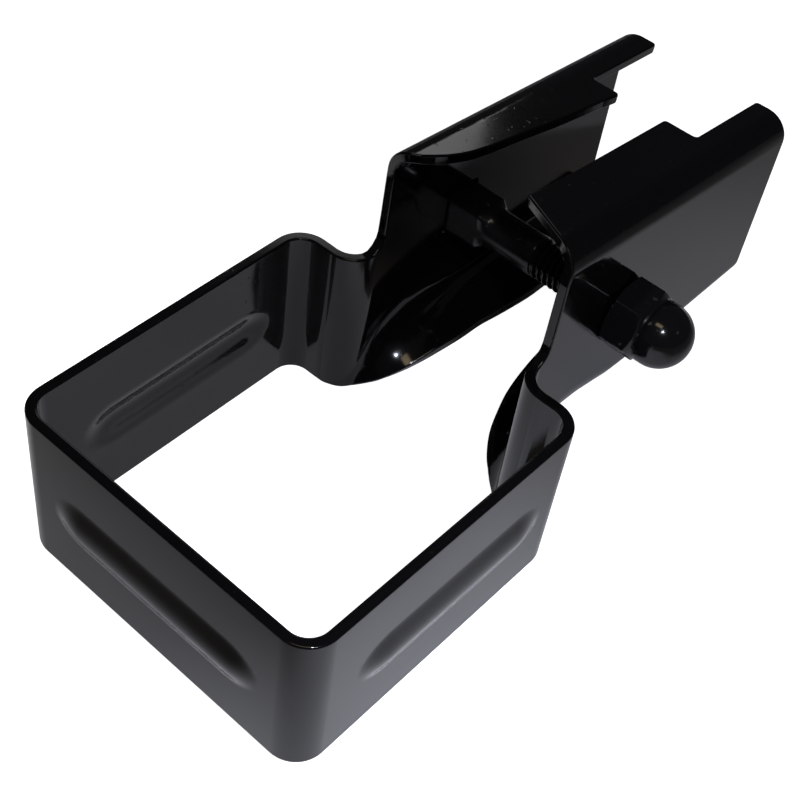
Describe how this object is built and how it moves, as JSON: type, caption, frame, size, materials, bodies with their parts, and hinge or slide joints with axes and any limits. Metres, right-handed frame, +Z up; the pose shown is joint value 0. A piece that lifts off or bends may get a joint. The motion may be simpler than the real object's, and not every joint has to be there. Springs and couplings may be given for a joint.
{
  "type": "square collar clamp bracket",
  "caption": "Pressed strap clamp: a beaded square collar for a post opens into two flanged jaws that a cross bolt and domed cap nut draw together.",
  "frame": {"origin": "centre of the square collar opening, level with the strap's lower edge", "axes": "+Z up along the post, +Y from the collar to the jaws, +X along the cross bolt towards the cap nut"},
  "size_m": [0.0696, 0.1455, 0.0577],
  "materials": {
    "strap_paint": "gloss black enamel over pressed steel",
    "bolt_black": "gloss black coating",
    "nut_black": "gloss black coating"
  },
  "bodies": {
    "frame": {"strap_frame": "strap_paint"},
    "left_arm": {"left_jaw_arm": "strap_paint"},
    "bolt": {"carriage_bolt": "bolt_black"},
    "nut": {"cap_nut": "nut_black"}
  },
  "joints": [
    {"name": "nut_spin", "type": "hinge", "parent": "frame", "child": "nut", "pos_m": [0.0204, 0.0615, 0.032], "axis": [-1, 0, 0], "range_deg": [0, 630]},
    {"name": "bolt_draw", "type": "slide", "parent": "frame", "child": "bolt", "axis": [1, 0, 0], "range_m": [0, 0.00219]},
    {"name": "jaw_flex", "type": "hinge", "parent": "frame", "child": "left_arm", "pos_m": [-0.0275, -0.0275, 0.01675], "axis": [0, 0, -1], "range_deg": [0, 1.41]}
  ],
  "couplings": [
    {"joint": "nut_spin", "follows": "bolt_draw", "rad_per_m": 5026.5},
    {"joint": "jaw_flex", "follows": "bolt_draw", "rad_per_m": 11.236}
  ]
}
